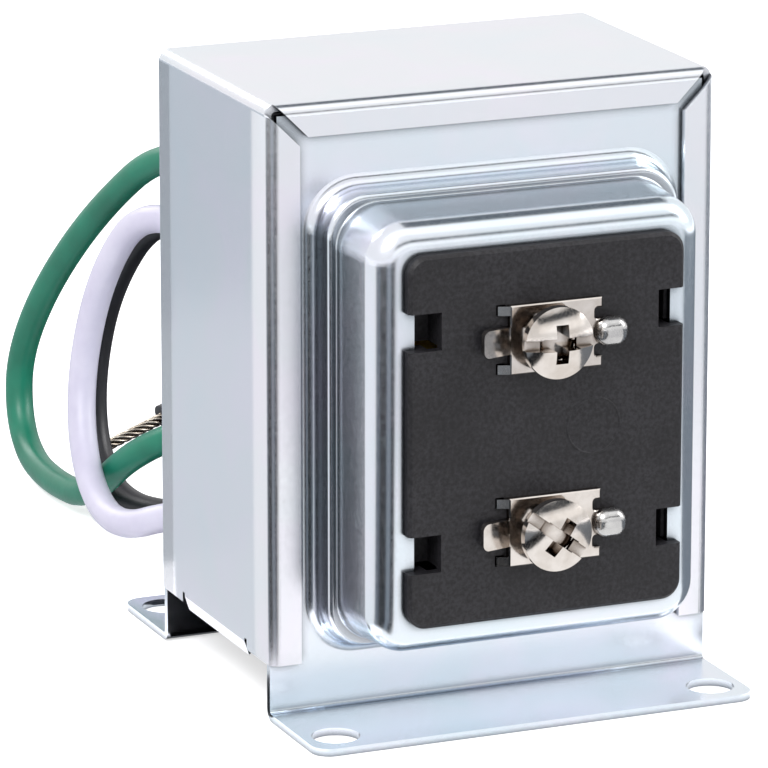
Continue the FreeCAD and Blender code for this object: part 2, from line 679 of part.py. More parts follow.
def make_terminal_plate(label, height):
    """Stamps a terminal plate: ears, neck, lifted tongue and two prongs bent into the board."""
    body = new_body(label, height)
    left, right, half = -size["plate_left"], size["plate_right"], size["plate_half"]
    ear, neck, root = half - size["ear_height"], size["neck_half"], size["neck_root"]
    tip = size["neck_reach"] + size["solder_side"] / 2
    gauge = size["plate_gauge"]
    sketch = new_sketch(body, "XZ_Plane", BOARD_FACE)
    outline(sketch, (
        (left, -half), (right, -half), (right, -ear), (root, -ear), (root, -neck), (tip, -neck),
        (tip, neck), (root, neck), (root, ear), (right, ear), (right, half), (left, half),
    ))
    blank = pad(body, sketch, gauge)
    doc.recompute()
    notches = edges_where(blank.Shape, lambda spot: near(spot.x, root.value))
    notches = [name for name in notches if near(blank.Shape.getElement(name).BoundBox.ZLength, 0)]
    rounded = fillet(body, blank, notches, size["notch_round"])
    face_edges = edges_where(rounded.Shape, lambda spot: near(spot.y, -TERMINAL_FACE.value))
    chamfer(body, rounded, face_edges, size["plate_edge"])
    tongue_tip = left - size["tongue_reach"]
    lift = size["tongue_lift"]
    sketch = new_sketch(body, "XY_Plane")
    outline(sketch, (
        (left + gauge, -BOARD_FACE), (left, -BOARD_FACE), (tongue_tip, -BOARD_FACE - lift),
        (tongue_tip, -TERMINAL_FACE - lift), (left, -TERMINAL_FACE), (left + gauge, -TERMINAL_FACE),
    ))
    tongue = pad(body, sketch, size["tongue_half"] * 2, symmetric=True)
    doc.recompute()
    tip_edges = edges_where(tongue.Shape, lambda spot: near(spot.x, tongue_tip.value))
    tip_edges = [name for name in tip_edges if near(tongue.Shape.getElement(name).BoundBox.ZLength, 0)]
    fillet(body, tongue, tip_edges, size["tongue_half"] / 2)
    prong_end = left - size["prong_reach"]
    prong_back = -BOARD_FACE + size["prong_depth"]
    for hand in (1, -1):
        row = (half - size["prong_inset"] - size["prong_width"] / 2) * hand
        sketch = new_sketch(body, "XY_Plane", row)
        outline(sketch, (
            (left + gauge, -BOARD_FACE), (left + gauge, -TERMINAL_FACE + size["plate_edge"]),
            (left, -TERMINAL_FACE + size["plate_edge"]), (prong_end, -BOARD_FACE - gauge / 4),
            (prong_end, prong_back), (prong_end + gauge, prong_back), (prong_end + gauge, -BOARD_FACE),
        ))
        pad(body, sketch, size["prong_width"], symmetric=True)
    sketch = new_sketch(body, "XZ_Plane", BOARD_FACE)
    circle(sketch, ZERO, ZERO, size["screw_radius"] + size["screw_gap"])
    pocket(body, sketch, gauge * 2, backwards=True)
    return body


def make_terminal_screw(label, height, angle):
    """Turns a binding-head screw and cuts its slot and cross recess."""
    body = new_body(label, height)
    under = TERMINAL_FACE + size["screw_standoff"]
    edge = under + size["screw_head_edge"]
    crown = edge + size["screw_head_crown"]
    shank, head = size["screw_radius"], size["screw_head_radius"]
    tip = under - size["screw_length"]
    point = shank / 2
    sketch = new_sketch(body, "XY_Plane")
    dome_radius = Measure(
        (head.value ** 2 + size["screw_head_crown"].value ** 2) / (2 * size["screw_head_crown"].value),
        f"(({head.formula} ^ 2 + {size['screw_head_crown'].formula} ^ 2)"
        f" / (2 * {size['screw_head_crown'].formula}))",
    )
    outline(sketch, (
        (ZERO, -tip), (ZERO, -crown, dome_radius, True), (head, -edge), (head, -under), (shank, -under),
        (shank, -tip - point), (point, -tip),
    ))
    revolve(body, sketch)
    sketch = new_sketch(body, "XZ_Plane", crown)
    half_slot = size["slot_width"] / 2
    rectangle(sketch, -head * 2, head * 2, -half_slot, half_slot)
    pocket(body, sketch, size["slot_depth"])
    sketch = new_sketch(body, "XZ_Plane", crown)
    reach, arm = size["cross_length"] / 2, size["cross_width"] / 2
    outline(sketch, (
        (-arm, -reach), (arm, -reach), (arm, -arm), (reach, -arm), (reach, arm), (arm, arm),
        (arm, reach), (-arm, reach), (-arm, arm), (-reach, arm), (-reach, -arm), (-arm, -arm),
    ))
    pocket(body, sketch, size["cross_depth"])
    body.Placement.Rotation = FreeCAD.Rotation(FreeCAD.Vector(0, 1, 0), angle)
    return body


def make_solder_joint(label, height):
    """Makes the solder pill on a terminal plate's neck."""
    body = new_body(label, height)
    half = size["solder_half"]
    crown = TERMINAL_FACE + size["solder_rise"]
    sketch = new_sketch(body, "XZ_Plane", TERMINAL_FACE)
    rounded_rectangle(sketch, size["solder_side"], -half, half, size["solder_corner"])
    pill = pad(body, sketch, size["solder_rise"])
    doc.recompute()
    top_edges = edges_where(pill.Shape, lambda spot: near(spot.y, -crown.value))
    fillet(body, pill, top_edges, size["solder_crown"])
    body.Placement.Base.x = size["neck_reach"].value
    bind(body, "Placement.Base.x", size["neck_reach"])
    return body


def make_laminations():
    """Stacks the E and I laminations, each stack one solid."""
    limb = size["core_limb"]
    leg_end = WINDOW_LENGTH_HALF
    inset, hole = size["core_hole_inset"], size["core_hole_radius"]
    half = size["core_length"] / 2
    body = new_body("e_lamination_stack", CORE_MIDDLE)
    sketch = new_sketch(body, "XZ_Plane")
    outline(sketch, (
        (-CORE_SIDE, -half), (leg_end, -half), (leg_end, -half + limb), (-leg_end, -half + limb),
        (-leg_end, -limb), (leg_end, -limb), (leg_end, limb), (-leg_end, limb),
        (-leg_end, half - limb), (leg_end, half - limb), (leg_end, half), (-CORE_SIDE, half),
    ))
    pad(body, sketch, size["stack_depth"], symmetric=True)
    sketch = new_sketch(body, "XZ_Plane")
    for hand in (1, -1):
        circle(sketch, -CORE_SIDE + inset, (half - inset) * hand, hole)
    pocket(body, sketch, symmetric=True)
    bar = new_body("i_lamination_stack", CORE_MIDDLE)
    sketch = new_sketch(bar, "XZ_Plane")
    rectangle(sketch, leg_end, CORE_SIDE, -half, half)
    pad(bar, sketch, size["stack_depth"], symmetric=True)
    sketch = new_sketch(bar, "XZ_Plane")
    for hand in (1, -1):
        circle(sketch, CORE_SIDE - inset, (half - inset) * hand, hole)
    pocket(bar, sketch, symmetric=True)
    return body, bar


def make_bobbin():
    """Moulds the split bobbin: a square tube with two end flanges and a middle one."""
    body = new_body("bobbin", CORE_MIDDLE)
    hole_y = STACK_HALF + size["bobbin_gap"]
    hole_z = size["core_limb"] + size["bobbin_gap"]
    end = WINDOW_LENGTH_HALF - size["bobbin_gap"]
    sketch = new_sketch(body, "YZ_Plane")
    rectangle(sketch, -TUBE_HALF_Y, TUBE_HALF_Y, -TUBE_HALF_Z, TUBE_HALF_Z)
    rectangle(sketch, -hole_y, hole_y, -hole_z, hole_z)
    pad(body, sketch, end * 2, symmetric=True)
    flange_y = STACK_HALF + size["flange_reach"]
    flange_z = size["core_length"] / 2 - size["core_limb"] - size["flange_gap"]
    gauge = size["bobbin_flange"]
    for start in (-end, -gauge / 2, end - gauge):
        sketch = new_sketch(body, "YZ_Plane", start)
        rectangle(sketch, -flange_y, flange_y, -flange_z, flange_z)
        rectangle(sketch, -hole_y, hole_y, -hole_z, hole_z)
        pad(body, sketch, gauge)
    return body


def make_ring(label, hand, outer, inner, outer_corner, inner_corner):
    """Winds a square ring round the bobbin's tube, on the left or right of its middle flange."""
    body = new_body(label, CORE_MIDDLE)
    gap, gauge = size["bobbin_gap"], size["bobbin_flange"]
    start = gauge / 2 + gap
    length = WINDOW_LENGTH_HALF - gap * 2 - gauge - start
    sketch = new_sketch(body, "YZ_Plane", start * hand)
    rounded_rectangle(sketch, outer[0], -outer[1], outer[1], outer_corner)
    if inner_corner is None:
        rectangle(sketch, -inner[0], inner[0], -inner[1], inner[1])
    else:
        rounded_rectangle(sketch, inner[0], -inner[1], inner[1], inner_corner)
    pad(body, sketch, length, backwards=hand < 0)
    return body


def make_windings():
    """Winds the primary on the left, the secondary on the right, and tapes both."""
    tube = (TUBE_HALF_Y, TUBE_HALF_Z)
    copper = (COPPER_HALF_Y, COPPER_HALF_Z)
    tape = (TAPE_HALF_Y, TAPE_HALF_Z)
    corner = size["winding_corner"]
    return [
        make_ring("primary_winding", -1, copper, tube, corner, None),
        make_ring("secondary_winding", 1, copper, tube, corner, None),
        make_ring("primary_tape", -1, tape, copper, corner + size["tape_gauge"], corner),
        make_ring("secondary_tape", 1, tape, copper, corner + size["tape_gauge"], corner),
    ]


def make_secondary_tail(label, height):
    """Runs an end of the secondary from the tape to the back of a terminal plate's neck."""
    body = new_body(label, height)
    sketch = new_sketch(body, "XZ_Plane", TAPE_HALF_Y)
    circle(sketch, size["neck_reach"], ZERO, size["tail_radius"])
    pad(body, sketch, BOARD_FACE - TAPE_HALF_Y)
    return body


def lead_spot(angle):
    """Places a lead in the bushing at an angle from the upright, seen from behind."""
    turn = math.radians(angle)
    reach = size["lead_circle"]
    return reach * math.sin(turn), DOME_MIDDLE + reach * math.cos(turn)


LEAD_SPOTS = {"green": lead_spot(0), "white": lead_spot(-120), "black": lead_spot(120)}


def make_lead_bushing():
    """Moulds the bushing that snaps into the rear cover, with a collar for each lead."""
    body = new_body("lead_bushing")
    radius = size["bushing_radius"]
    wide = radius + size["bushing_flange"]
    lip = radius + size["bushing_flange"] / 4
    head = RIM_FACE + size["bushing_head"]
    spread = size["bushing_head"] / 2
    sketch = new_sketch(body, "XY_Plane", DOME_MIDDLE)
    outline(sketch, (
        (ZERO, BUSHING_INSIDE), (radius, BUSHING_INSIDE), (lip, RIM_BACK), (radius, RIM_BACK),
        (radius, RIM_FACE), (wide, RIM_FACE), (wide, head - spread),
        (wide - spread, head), (ZERO, head),
    ))
    revolve(body, sketch)
    sketch = new_sketch(body, "XZ_Plane", -head)
    for across, up in LEAD_SPOTS.values():
        circle(sketch, across, up, size["collar_radius"])
    pad(body, sketch, size["collar_height"], backwards=True)
    return body


def make_block(label, colour, width, height):
    """Seats a small moulded block on the coil, against the bushing behind a lead."""
    body = new_body(label)
    across, up = LEAD_SPOTS[colour]
    sketch = new_sketch(body, "XZ_Plane", -BUSHING_INSIDE)
    rectangle(sketch, across - width / 2, across + width / 2, up - height / 2, up + height / 2)
    block = pad(body, sketch, BUSHING_INSIDE - TAPE_HALF_Y)
    doc.recompute()
    long_edges = [
        f"Edge{number}" for number, edge in enumerate(block.Shape.Edges, 1)
        if edge.BoundBox.YLength > 1e-3
    ]
    fillet(body, block, long_edges, width / 5)
    return body


def make_ground_strap():
    """Bends the strap from the green lead's bushing end to the inside of the rear cover."""
    body = new_body("ground_strap")
    gauge = size["strap_gauge"]
    low = LEAD_SPOTS["green"][1] - size["lead_diameter"] / 2
    step = DOME_MIDDLE + size["bushing_radius"] + size["bushing_flange"] / 2
    seat = step + size["strap_joggle"]
    top = seat + size["strap_seat"]
    sketch = new_sketch(body, "YZ_Plane")
    outline(sketch, (
        (BUSHING_INSIDE - gauge, low), (BUSHING_INSIDE, low), (BUSHING_INSIDE, step),
        (RIM_BACK, seat), (RIM_BACK, top), (RIM_BACK - gauge, top), (RIM_BACK - gauge, seat),
        (BUSHING_INSIDE - gauge, step),
    ))
    pad(body, sketch, size["strap_width"], symmetric=True)
    return body


def route_wire(points):
    """Joins straight runs with tangent arcs and returns the wire with the arcs' radii."""
    edges = []
    radii = []
    start = points[0]
    for before, corner, after in zip(points, points[1:], points[2:]):
        back = before - corner
        ahead = after - corner
        reach = ARC_SHARE * min(back.Length, ahead.Length)
        half_turn = (math.pi - back.getAngle(ahead)) / 2
        radii.append(reach / math.tan(half_turn))
        first = corner + back.normalize() * reach
        last = corner + ahead.normalize() * reach
        inward = (back + ahead).normalize()
        gap = radii[-1] / math.cos(half_turn) - radii[-1]
        edges.append(Part.LineSegment(start, first).toShape())
        edges.append(Part.Arc(first, corner + inward * gap, last).toShape())
        start = last
    edges.append(Part.LineSegment(start, points[-1]).toShape())
    return Part.Wire(edges), radii


def make_lead(colour, route):
    """Sweeps a lead along its route and puts the bare strands on its end."""
    across, up = LEAD_SPOTS[colour]
    start = FreeCAD.Vector(across.value, COLLAR_FACE.value, up.value)
    points = [start, start + FreeCAD.Vector(0, size["lead_exit"].value, 0)]
    points += [FreeCAD.Vector(*point) for point in route]
    path, radii = route_wire(points)
    radius = size["lead_diameter"].value / 2
    ring = Part.Wire(Part.Circle(points[0], points[1] - points[0], radius).toShape())
    tube = path.makePipeShell([ring], True, False)
    expected = math.pi * radius ** 2 * path.Length
    share = tube.Volume / expected
    print(f"{colour} lead: length {path.Length:.1f}, least radius {min(radii):.1f}, volume ratio {share:.4f}")
    if abs(share - 1) > VOLUME_TOLERANCE:
        raise RuntimeError(f"{colour} lead: the tube's volume is off")
    lead = doc.addObject("Part::Feature", f"{colour}_lead")
    lead.Label = f"{colour}_lead"
    lead.Shape = tube
    lead.Placement = FreeCAD.Placement()
    along = points[-1] - points[-2]
    strands = doc.addObject("Part::Cylinder", f"{colour}_lead_end")
    strands.Label = f"{colour}_lead_end"
    bind(strands, "Radius", size["strand_diameter"] / 2)
    bind(strands, "Height", size["strip_length"])
    strands.Placement = FreeCAD.Placement(points[-1], FreeCAD.Rotation(FreeCAD.Vector(0, 0, 1), along))
    return [lead, strands]


def make_sub_parts():
    """Makes every sub-part and returns them."""
    parts = [make_wrap_cover(), make_front_cover(), make_rear_cover(), make_terminal_board()]
    for place, height in TERMINAL_HEIGHTS.items():
        angle = 0.0 if place == "upper" else LOWER_SLOT_ANGLE
        parts.append(make_terminal_plate(f"terminal_plate_{place}", height))
        parts.append(make_terminal_screw(f"terminal_screw_{place}", height, angle))
        parts.append(make_solder_joint(f"solder_joint_{place}", height))
        parts.append(make_secondary_tail(f"secondary_tail_{place}", height))
    parts += make_laminations()
    parts.append(make_bobbin())
    parts += make_windings()
    parts.append(make_lead_bushing())
    parts.append(make_block("thermal_cutoff", "black", size["cutoff_width"], size["cutoff_height"]))
    parts.append(make_block("splice_sleeve", "white", size["sleeve_width"], size["sleeve_height"]))
    parts.append(make_ground_strap())
    for colour, route in (("green", GREEN_ROUTE), ("white", WHITE_ROUTE), ("black", BLACK_ROUTE)):
        parts += make_lead(colour, route)
    return parts


def write_parts(parts):
    """Checks the document and each shape, then writes one file for each sub-part."""
    doc.recompute()
    for item in doc.Objects:
        if "Invalid" in item.State or "Error" in item.State:
            raise RuntimeError(f"{item.Label} failed: {item.State}")
    for part in parts:
        if part.Shape.isNull() or not part.Shape.isValid():
            raise RuntimeError(f"{part.Label} has no valid shape")
    os.makedirs("parts", exist_ok=True)
    for part in parts:
        part.Shape.exportStep(os.path.join("parts", f"{part.Label}.step"))
        print(f"{part.Label}: {len(part.Shape.Solids)} solid, {part.Shape.Volume:.1f} mm3")


write_parts(make_sub_parts())
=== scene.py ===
"""Looks of the doorbell transformer: finishes, loose leads, small details and the studio around it."""

import logging
import math
from dataclasses import dataclass
from enum import Enum
from typing import Iterable, Sequence

import bpy
from mathutils import Matrix, Vector


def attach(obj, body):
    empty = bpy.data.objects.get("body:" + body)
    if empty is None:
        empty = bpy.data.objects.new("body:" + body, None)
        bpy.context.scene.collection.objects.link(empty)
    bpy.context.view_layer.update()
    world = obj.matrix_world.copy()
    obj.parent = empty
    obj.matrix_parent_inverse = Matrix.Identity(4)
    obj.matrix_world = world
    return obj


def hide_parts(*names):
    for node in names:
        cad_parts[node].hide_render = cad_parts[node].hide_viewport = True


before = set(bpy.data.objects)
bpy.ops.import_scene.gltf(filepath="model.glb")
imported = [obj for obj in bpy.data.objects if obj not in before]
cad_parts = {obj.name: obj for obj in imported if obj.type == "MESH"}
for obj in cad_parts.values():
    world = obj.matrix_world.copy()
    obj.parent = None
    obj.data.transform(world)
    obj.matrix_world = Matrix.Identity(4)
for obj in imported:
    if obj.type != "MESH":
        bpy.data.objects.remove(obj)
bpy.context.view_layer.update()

logging.basicConfig(level=logging.INFO, format="%(message)s")
log = logging.getLogger("doorbell_transformer")

MM = 0.001
ROOT = "root"
PLASTIC_IOR = 1.53
# Most values of a noise texture lie between these
NOISE_LOW = 0.3
NOISE_HIGH = 0.7
# Shares of open surroundings at which the painted crevice shade is full and gone
CREVICE_DARK = 0.4
CREVICE_CLEAR = 0.92
Point = tuple[float, float, float]
FloorPoint = tuple[float, float]


def metres(point: Sequence[float]) -> Vector:
    """Turns a point in millimetres into metres."""
    return Vector(point) * MM


def per_size(millimetres: float) -> float:
    """Gives a texture scale whose features have about this size in millimetres."""
    return 1.0 / (millimetres * MM)


def linear(hex_colour: str) -> tuple[float, float, float, float]:
    """Turns an sRGB hex colour into linear RGBA.

    Args:
        hex_colour: the colour as six hex digits.

    Returns:
        Linear red, green, blue and an alpha of 1.
    """
    values = [int(hex_colour[place:place + 2], 16) / 255 for place in (0, 2, 4)]
    red, green, blue = (v / 12.92 if v <= 0.04045 else ((v + 0.055) / 1.055) ** 2.4 for v in values)
    return red, green, blue, 1.0


def add_node(tree: bpy.types.NodeTree, kind: str, inputs: dict | None = None, stops: Sequence | None = None,
             **settings: object) -> bpy.types.Node:
    """Adds a node with its settings, its colour stops and its inputs.

    Args:
        tree: the node tree.
        kind: the node's class name.
        inputs: value or linked socket for each named input.
        stops: place and hex colour of each stop of a colour ramp.
        settings: the node's own properties.

    Returns:
        The new node.
    """
    node = tree.nodes.new(kind)
    for name, value in settings.items():
        setattr(node, name, value)
    for number, (place, colour) in enumerate(stops or ()):
        ramp = node.color_ramp.elements
        stop = ramp[number] if number < 2 else ramp.new(place)
        stop.position, stop.color = place, linear(colour)
    for name, value in (inputs or {}).items():
        if isinstance(value, bpy.types.NodeSocket):
            tree.links.new(value, node.inputs[name])
        else:
            node.inputs[name].default_value = value
    return node


def new_material(name: str) -> tuple[bpy.types.Material, bpy.types.NodeTree, bpy.types.NodeSocket]:
    """Starts an empty material.

    Args:
        name: the material's name.

    Returns:
        The material, its node tree and its Object coordinates.
    """
    material = bpy.data.materials.new(name)
    material.use_nodes = True
    tree = material.node_tree
    tree.nodes.clear()
    return material, tree, add_node(tree, "ShaderNodeTexCoord").outputs["Object"]


def close_material(tree: bpy.types.NodeTree, surface: bpy.types.NodeSocket) -> None:
    """Links a surface to the material's output."""
    add_node(tree, "ShaderNodeOutputMaterial", {"Surface": surface})


def shade_crevices(tree: bpy.types.NodeTree, colour: bpy.types.NodeSocket, deep: str,
                   reach: float | bpy.types.NodeSocket) -> bpy.types.NodeSocket:
    """Paints shade into a colour where other surfaces crowd it, standing in for the light that crevices lose.

    Args:
        tree: the node tree to add to.
        colour: the open surface's colour.
        deep: the colour of the painted shade deep in a crevice.
        reach: how near the other surfaces are, in metres, or a socket that gives it.

    Returns:
        The shaded colour.
    """
    # Painted shade: ambient occlusion mixes the colour towards the deep colour in crevices
    crowd = add_node(tree, "ShaderNodeAmbientOcclusion", {"Distance": reach}, samples=8)
    open_share = add_node(tree, "ShaderNodeMapRange", {
        "Value": crowd.outputs["AO"], "From Min": CREVICE_DARK, "From Max": CREVICE_CLEAR})
    return add_node(tree, "ShaderNodeMixRGB", {
        "Fac": open_share.outputs["Result"], "Color1": linear(deep), "Color2": colour}).outputs["Color"]


@dataclass(frozen=True)
class ZincSheet:
    """Cold-rolled steel sheet, zinc plated and blue passivated.

    A bright satin metal with a cool tint that drifts from blue to lavender, and a fine crystalline mottle.
    """

    name: str
    blue: str
    lavender: str
    neutral: str
    roughness: float
    tint_mm: float = 14.0
    mottle_mm: float = 0.5
    mottle_depth_mm: float = 0.005
    flat_half_mm: float = 10.5
    wall_top_mm: float = 63.2
    roll_per_mm: float = 0.0
    # Colour of the painted shade deep in crevices
    painted_shade: str = "20272E"
    crevice_mm: float = 1.3
    dome_crevice_mm: float = 1.3
    dome_centre_mm: float = 31.5
    dome_half_mm: float = 28.0
    dome_foot_mm: float = 17.3
    dome_blend_mm: float = 0.7

    def build(self) -> bpy.types.Material:
        """Makes the plated finish.

        Returns:
            The material.
        """
        material, tree, place = new_material(self.name)
        tint = add_node(tree, "ShaderNodeTexNoise", {
            "Vector": place, "Scale": per_size(self.tint_mm), "Detail": 3.0, "Roughness": 0.55,
            "Distortion": 0.6})
        colour = add_node(tree, "ShaderNodeValToRGB", {"Fac": tint.outputs["Fac"]}, stops=(
            (0.3, self.blue), (0.68, self.lavender), (0.5, self.neutral)))
        # The crystals are finer than this on the sheet, and are drawn coarser so that they show
        mottle = add_node(tree, "ShaderNodeTexNoise", {
            "Vector": place, "Scale": per_size(self.mottle_mm), "Detail": 4.0, "Roughness": 0.7})
        haze = add_node(tree, "ShaderNodeMapRange", {
            "Value": mottle.outputs["Fac"], "From Min": NOISE_LOW, "From Max": NOISE_HIGH,
            "To Min": self.roughness - 0.03, "To Max": self.roughness + 0.04})
        relief = add_node(tree, "ShaderNodeBump", {
            "Height": mottle.outputs["Fac"], "Strength": 0.12, "Distance": self.mottle_depth_mm * MM,
            "Normal": self.roll_edges(tree, place)})
        # Painted shade: the colour darkens where surfaces crowd it, over a wider reach on the dome
        shaded = shade_crevices(tree, colour.outputs["Color"], self.painted_shade, self.crevice_reach(tree, place))
        shader = add_node(tree, "ShaderNodeBsdfPrincipled", {
            "Base Color": shaded, "Metallic": 1.0, "Roughness": haze.outputs["Result"],
            "Normal": relief.outputs["Normal"]})
        close_material(tree, shader.outputs["BSDF"])
        return material

    def crevice_reach(self, tree: bpy.types.NodeTree, place: bpy.types.NodeSocket) -> bpy.types.NodeSocket:
        """Gives the drawn dome a longer reach of painted crevice shade than the flat sheet, so that it is
        painted darker.

        Args:
            tree: the node tree to add to.
            place: the Object coordinates.

        Returns:
            The reach of the painted crevice shade, in metres.
        """
        axes = add_node(tree, "ShaderNodeSeparateXYZ", {"Vector": place}).outputs
        off = add_node(tree, "ShaderNodeMath", {
            0: axes["Z"], 1: self.dome_centre_mm * MM}, operation="SUBTRACT")
        away = add_node(tree, "ShaderNodeMath", {0: off.outputs["Value"]}, operation="ABSOLUTE")
        within = add_node(tree, "ShaderNodeMath", {
            0: away.outputs["Value"], 1: self.dome_half_mm * MM}, operation="LESS_THAN")
        out = add_node(tree, "ShaderNodeMath", {0: axes["Y"]}, operation="ABSOLUTE")
        deep = add_node(tree, "ShaderNodeMath", {
            0: within.outputs["Value"], 1: self.dome_crevice_mm * MM}, operation="MULTIPLY")
        reach = add_node(tree, "ShaderNodeMapRange", {
            "Value": out.outputs["Value"], "From Min": (self.dome_foot_mm - self.dome_blend_mm) * MM,
            "From Max": (self.dome_foot_mm + self.dome_blend_mm) * MM,
            "To Min": self.crevice_mm * MM, "To Max": deep.outputs["Value"]})
        return add_node(tree, "ShaderNodeMath", {
            0: reach.outputs["Result"], 1: self.crevice_mm * MM}, operation="MAXIMUM").outputs["Value"]

    def roll_edges(self, tree: bpy.types.NodeTree, place: bpy.types.NodeSocket) -> bpy.types.NodeSocket:
        """Lets the upright walls fall off a little towards their front and rear folds.

        Args:
            tree: the node tree to add to.
            place: the Object coordinates.

        Returns:
            The normal of the rolled sheet.
        """
        axes = add_node(tree, "ShaderNodeSeparateXYZ", {"Vector": place}).outputs
        on_wall = add_node(tree, "ShaderNodeMath", {
            0: axes["Z"], 1: self.wall_top_mm * MM}, operation="LESS_THAN")
        out = add_node(tree, "ShaderNodeMath", {0: axes["Y"]}, operation="ABSOLUTE").outputs["Value"]
        past = add_node(tree, "ShaderNodeMath", {0: out, 1: self.flat_half_mm * MM}, operation="SUBTRACT")
        rolled = add_node(tree, "ShaderNodeMath", {0: past.outputs["Value"], 1: 0.0}, operation="MAXIMUM")
        square = add_node(tree, "ShaderNodeMath", {0: rolled.outputs["Value"], 1: 2.0}, operation="POWER")
        fall = add_node(tree, "ShaderNodeMath", {
            0: square.outputs["Value"], 1: -self.roll_per_mm / 2 / MM}, operation="MULTIPLY")
        height = add_node(tree, "ShaderNodeMath", {
            0: fall.outputs["Value"], 1: on_wall.outputs["Value"]}, operation="MULTIPLY")
        return add_node(tree, "ShaderNodeBump", {
            "Height": height.outputs["Value"], "Strength": 1.0, "Distance": 1.0}).outputs["Normal"]


@dataclass(frozen=True)
class BrightMetal:
    """Plated or soldered small metal: smooth, with a faint drift of tint and hairline handling marks."""

    name: str
    light: str
    dark: str
    roughness: float
    drift_mm: float = 2.2
    mark_mm: float = 0.18
    mark_depth_mm: float = 0.003
    mark_strength: float = 0.15
    # Colour of the painted shade deep in recesses, a brown
    painted_shade: str = "4A3827"
    crevice_mm: float = 1.2

    def build(self) -> bpy.types.Material:
        """Makes the bright finish.

        Returns:
            The material.
        """
        material, tree, place = new_material(self.name)
        drift = add_node(tree, "ShaderNodeTexNoise", {
            "Vector": place, "Scale": per_size(self.drift_mm), "Detail": 2.0})
        colour = add_node(tree, "ShaderNodeValToRGB", {"Fac": drift.outputs["Fac"]}, stops=(
            (0.35, self.dark), (0.65, self.light)))
        marks = add_node(tree, "ShaderNodeTexNoise", {
            "Vector": place, "Scale": per_size(self.mark_mm), "Detail": 3.0, "Roughness": 0.6})
        haze = add_node(tree, "ShaderNodeMapRange", {
            "Value": marks.outputs["Fac"], "From Min": NOISE_LOW, "From Max": NOISE_HIGH,
            "To Min": self.roughness * 0.7, "To Max": self.roughness * 1.4})
        relief = add_node(tree, "ShaderNodeBump", {
            "Height": marks.outputs["Fac"], "Strength": self.mark_strength,
            "Distance": self.mark_depth_mm * MM})
        # Painted shade: the colour darkens towards brown in recesses and under the screw heads
        shaded = shade_crevices(tree, colour.outputs["Color"], self.painted_shade, self.crevice_mm * MM)
        shader = add_node(tree, "ShaderNodeBsdfPrincipled", {
            "Base Color": shaded, "Metallic": 1.0, "Roughness": haze.outputs["Result"],
            "Normal": relief.outputs["Normal"]})
        close_material(tree, shader.outputs["BSDF"])
        return material


@dataclass(frozen=True)
class MouldedNylon:
    """Injection-moulded nylon from a spark-eroded mould: even colour with a fine, slightly glossy grain."""

    name: str
    light: str
    dark: str
    roughness: float
    grain_mm: float = 0.4
    grain_depth_mm: float = 0.03
    speck_mm: float = 0.45
    flow_mm: float = 6.0
    sheen: float = 0.3

    def build(self) -> bpy.types.Material:
        """Makes the moulded finish.

        Returns:
            The material.
        """
        material, tree, place = new_material(self.name)
        flow = add_node(tree, "ShaderNodeTexNoise", {
            "Vector": place, "Scale": per_size(self.flow_mm), "Detail": 4.0, "Roughness": 0.6})
        speck = add_node(tree, "ShaderNodeTexNoise", {
            "Vector": place, "Scale": per_size(self.speck_mm), "Detail": 3.0, "Roughness": 0.6})
        blend = add_node(tree, "ShaderNodeMapRange", {
            "Value": speck.outputs["Fac"], "From Min": NOISE_LOW, "From Max": NOISE_HIGH,
            "To Min": 0.0, "To Max": flow.outputs["Fac"]})
        colour = add_node(tree, "ShaderNodeValToRGB", {"Fac": blend.outputs["Result"]}, stops=(
            (0.1, self.dark), (0.45, self.light)))
        grain = add_node(tree, "ShaderNodeTexVoronoi", {"Vector": place, "Scale": per_size(self.grain_mm)})
        haze = add_node(tree, "ShaderNodeMapRange", {
            "Value": flow.outputs["Fac"], "To Min": self.roughness - 0.06, "To Max": self.roughness + 0.06})
        relief = add_node(tree, "ShaderNodeBump", {
            "Height": grain.outputs["Distance"], "Strength": 0.8, "Distance": self.grain_depth_mm * MM})
        shader = add_node(tree, "ShaderNodeBsdfPrincipled", {
            "Base Color": colour.outputs["Color"], "Roughness": haze.outputs["Result"], "IOR": PLASTIC_IOR,
            "Specular IOR Level": self.sheen, "Normal": relief.outputs["Normal"]})
        close_material(tree, shader.outputs["BSDF"])
        return material


@dataclass(frozen=True)
class ExtrudedInsulation:
    """Extruded PVC insulation: a soft satin skin with slow shade changes and a little pick-up of dust."""

    name: str
    light: str
    dark: str
    roughness: float = 0.36
    shade_mm: float = 9.0
    skin_mm: float = 0.5
    skin_depth_mm: float = 0.02

    def build(self) -> bpy.types.Material:
        """Makes the insulation's finish.

        Returns:
            The material.
        """
        material, tree, place = new_material(self.name)
        shade = add_node(tree, "ShaderNodeTexNoise", {
            "Vector": place, "Scale": per_size(self.shade_mm), "Detail": 4.0, "Roughness": 0.6})
        colour = add_node(tree, "ShaderNodeValToRGB", {"Fac": shade.outputs["Fac"]}, stops=(
            (0.35, self.dark), (0.65, self.light)))
        skin = add_node(tree, "ShaderNodeTexNoise", {
            "Vector": place, "Scale": per_size(self.skin_mm), "Detail": 3.0})
        haze = add_node(tree, "ShaderNodeMapRange", {
            "Value": skin.outputs["Fac"], "To Min": self.roughness - 0.05, "To Max": self.roughness + 0.08})
        relief = add_node(tree, "ShaderNodeBump", {
            "Height": skin.outputs["Fac"], "Strength": 0.2, "Distance": self.skin_depth_mm * MM})
        shader = add_node(tree, "ShaderNodeBsdfPrincipled", {
            "Base Color": colour.outputs["Color"], "Roughness": haze.outputs["Result"], "IOR": PLASTIC_IOR,
            "Normal": relief.outputs["Normal"]})
        close_material(tree, shader.outputs["BSDF"])
        return material


class Layers(Enum):
    """The axis along which a layered finish repeats."""

    ACROSS = "X"
    DEPTH = "Y"


